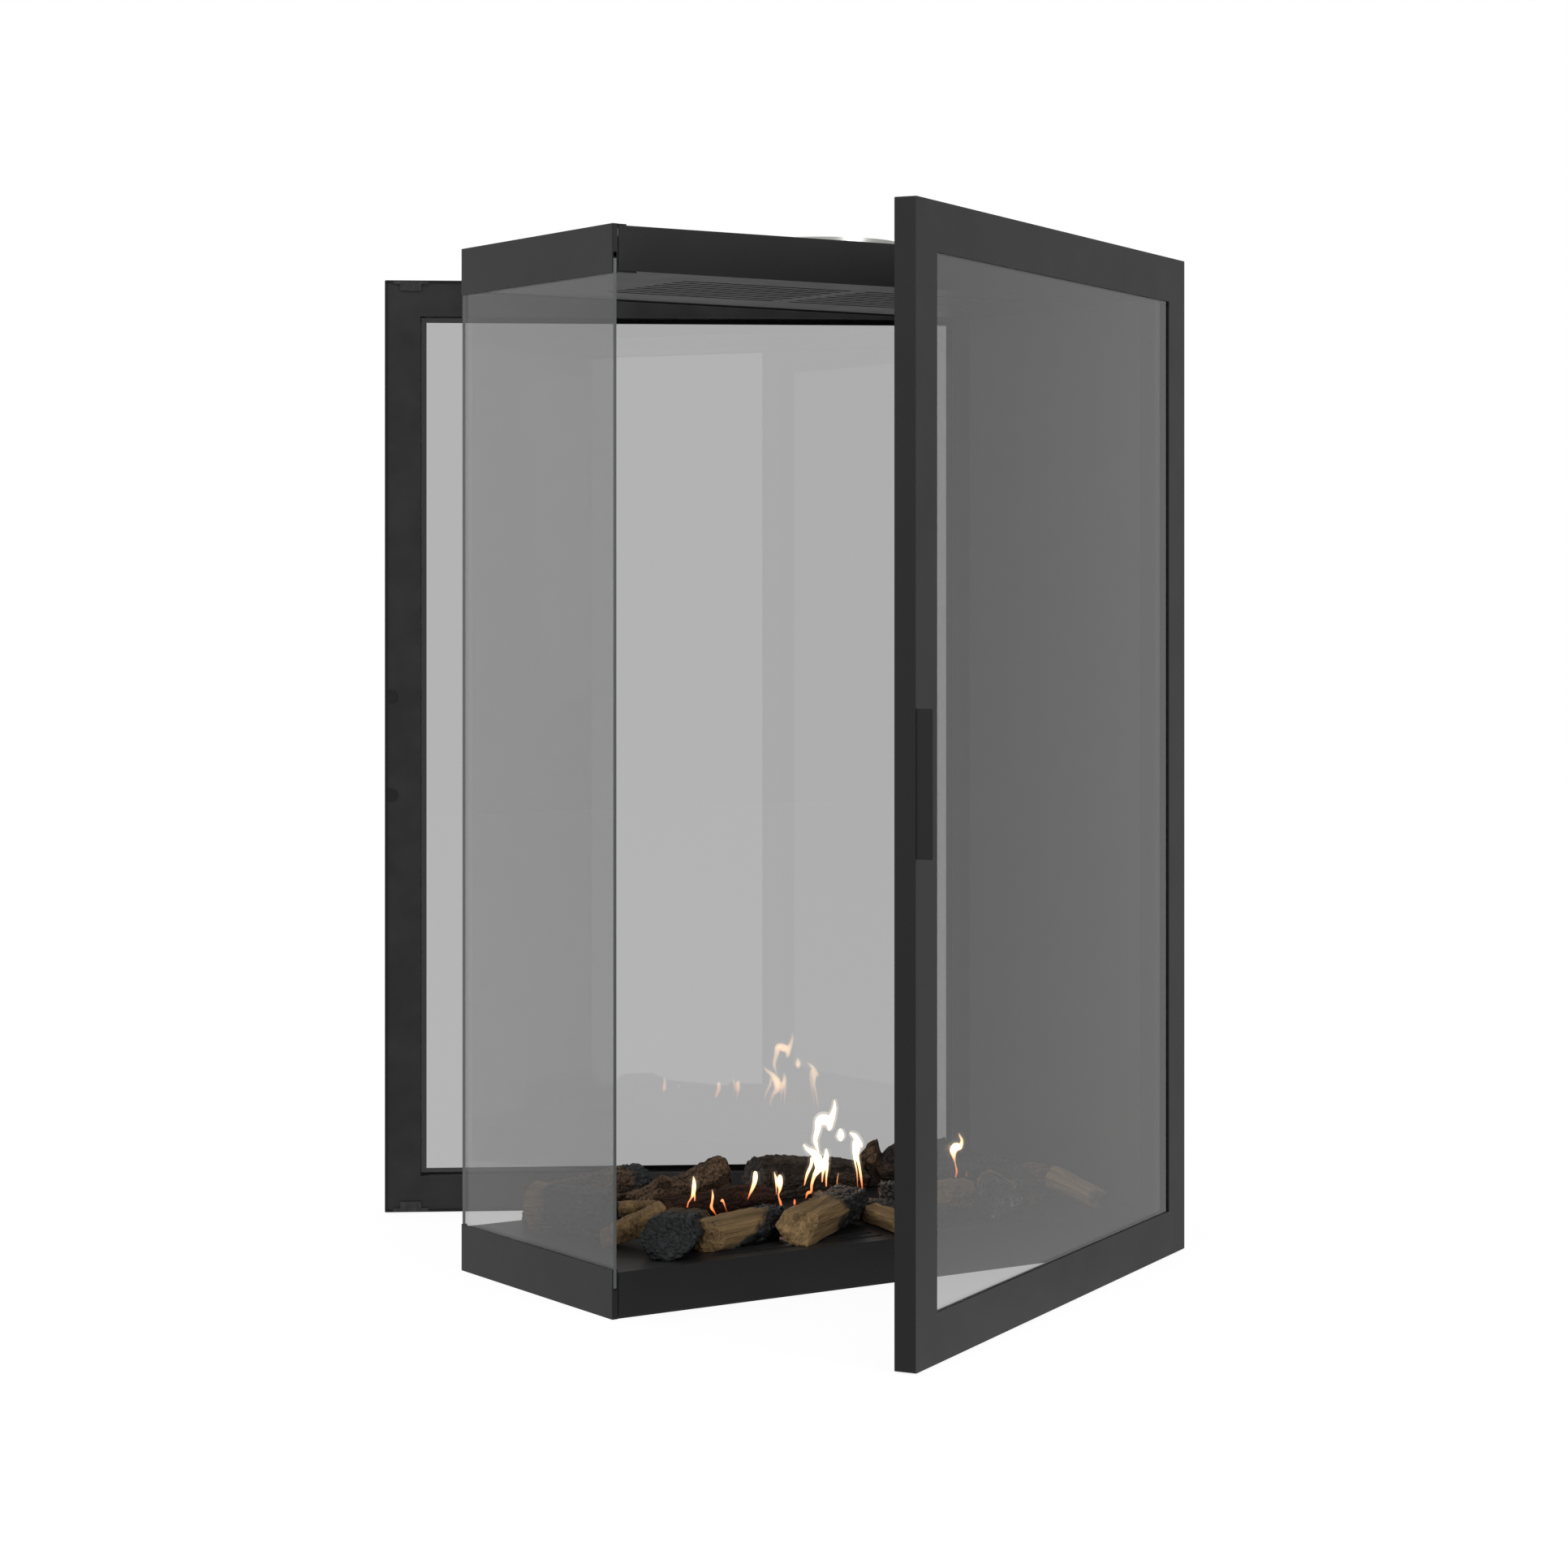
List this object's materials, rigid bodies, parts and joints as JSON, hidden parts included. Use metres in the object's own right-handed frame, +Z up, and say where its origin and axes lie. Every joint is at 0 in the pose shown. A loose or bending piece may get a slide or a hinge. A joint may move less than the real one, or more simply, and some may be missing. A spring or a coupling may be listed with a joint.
{
  "type": "room divider fireplace",
  "caption": "Tall black gas fireplace that divides a room, with a fixed glass end, glass doors to both rooms, a slotted ceiling and a hearth of ceramic logs.",
  "frame": {"origin": "middle of the base, on the surface it stands on", "axes": "+Z up, +X from the glazed end to the end wall, +Y from the front door to the rear one"},
  "size_m": [0.8, 1.1982, 1.212],
  "materials": {
    "powder_coat": "fine black powder coat, satin",
    "stove_paint": "heat resistant matt black stove paint",
    "black_hinge": "blackened steel hinges and latch plates",
    "aluminised_steel": "dull aluminised sheet",
    "stainless_collar": "rolled stainless sheet",
    "brass": "turned brass, unpolished",
    "pilot_steel": "heat tinted steel",
    "ceramic_glass": "grey tinted ceramic glass, polished",
    "glass_fibre_seal": "black woven glass fibre tape",
    "mineral_board": "pale pressed mineral board",
    "ceramic_log": "ceramic fibre, painted as split and charred wood"
  },
  "bodies": {
    "root": {"side_lower_fascia": "powder_coat", "side_upper_fascia": "powder_coat", "front_lower_fascia": "powder_coat", "rear_lower_fascia": "powder_coat", "front_upper_fascia": "powder_coat", "rear_upper_fascia": "powder_coat", "end_wall_casing": "powder_coat", "front_hinge_post": "powder_coat", "rear_hinge_post": "powder_coat", "door_strikes": "powder_coat", "hearth_plate": "stove_paint", "ceiling_grille": "stove_paint", "end_wall_liner": "stove_paint", "burner_deck": "stove_paint", "front_base_rail": "stove_paint", "rear_base_rail": "stove_paint", "left_base_rail": "stove_paint", "right_base_rail": "stove_paint", "hinge_brackets": "black_hinge", "burner_box": "aluminised_steel", "flue_box": "aluminised_steel", "top_cover": "aluminised_steel", "inner_flue_collar": "stainless_collar", "outer_flue_collar": "stainless_collar", "gas_manifold": "brass", "pilot_burner": "pilot_steel", "side_glass": "ceramic_glass", "side_glass_seals": "glass_fibre_seal", "end_wall_insulation": "mineral_board", "rear_charred_log": "ceramic_log", "rear_left_log": "ceramic_log", "rear_bark_log": "ceramic_log", "rear_right_log": "ceramic_log", "corner_log": "ceramic_log", "middle_log": "ceramic_log", "centre_log": "ceramic_log", "left_charred_log": "ceramic_log", "front_left_log": "ceramic_log", "split_sticks": "ceramic_log", "front_split_log": "ceramic_log", "front_cross_log": "ceramic_log", "front_right_log": "ceramic_log", "right_charred_log": "ceramic_log", "right_split_logs": "ceramic_log", "right_inner_log": "ceramic_log", "end_split_log": "ceramic_log"},
    "front_door": {"front_door_tray": "powder_coat", "front_door_handle": "powder_coat", "front_door_retainer": "stove_paint", "front_door_knuckles": "black_hinge", "front_door_latches": "black_hinge", "front_door_glass": "ceramic_glass", "front_door_glass_tape": "glass_fibre_seal"},
    "rear_door": {"rear_door_tray": "powder_coat", "rear_door_handle": "powder_coat", "rear_door_retainer": "stove_paint", "rear_door_knuckles": "black_hinge", "rear_door_latches": "black_hinge", "rear_door_glass": "ceramic_glass", "rear_door_glass_tape": "glass_fibre_seal"}
  },
  "joints": [
    {"name": "front_door_hinge", "type": "hinge", "parent": "root", "child": "front_door", "pos_m": [0.3873, -0.1775, 0.6], "axis": [0, 0, 1], "range_deg": [-29.5, 60.5]},
    {"name": "rear_door_hinge", "type": "hinge", "parent": "root", "child": "rear_door", "pos_m": [0.3873, 0.1775, 0.6], "axis": [0, 0, -1], "range_deg": [-29.5, 60.5]}
  ]
}
